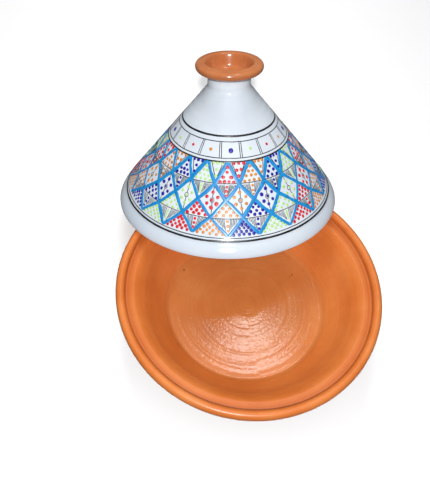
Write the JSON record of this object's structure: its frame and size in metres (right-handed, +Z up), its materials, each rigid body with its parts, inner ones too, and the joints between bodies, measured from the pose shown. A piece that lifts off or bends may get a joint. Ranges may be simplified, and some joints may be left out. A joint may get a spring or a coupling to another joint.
{
  "type": "tagine pot",
  "caption": "Wide terracotta dish with a rounded rim and lid seat, and a hand-painted conical lid with a cup-shaped knob, leaning open against the dish.",
  "frame": {"origin": "centre of the dish's flat underside", "axes": "+Z up along the dish's axis, +Y from the dish's centre towards the leaning lid, +X to the right of it"},
  "size_m": [0.305, 0.4262, 0.2205],
  "materials": {
    "terracotta_glaze": "satin",
    "white_glaze": "gloss",
    "collar_glaze": "gloss",
    "bare_clay": "matte",
    "black_line": "gloss",
    "blue_line": "gloss",
    "red_enamel": "gloss",
    "orange_enamel": "gloss",
    "navy_enamel": "gloss",
    "lime_enamel": "gloss"
  },
  "bodies": {
    "dish": {"base_dish": "terracotta_glaze"},
    "lid": {"lid_cone": "white_glaze", "lid_knob": "collar_glaze"}
  },
  "joints": [
    {"name": "lid_lift", "type": "slide", "parent": "dish", "child": "lid", "axis": [0, 0, 1], "range_m": [0, 0.15]}
  ]
}
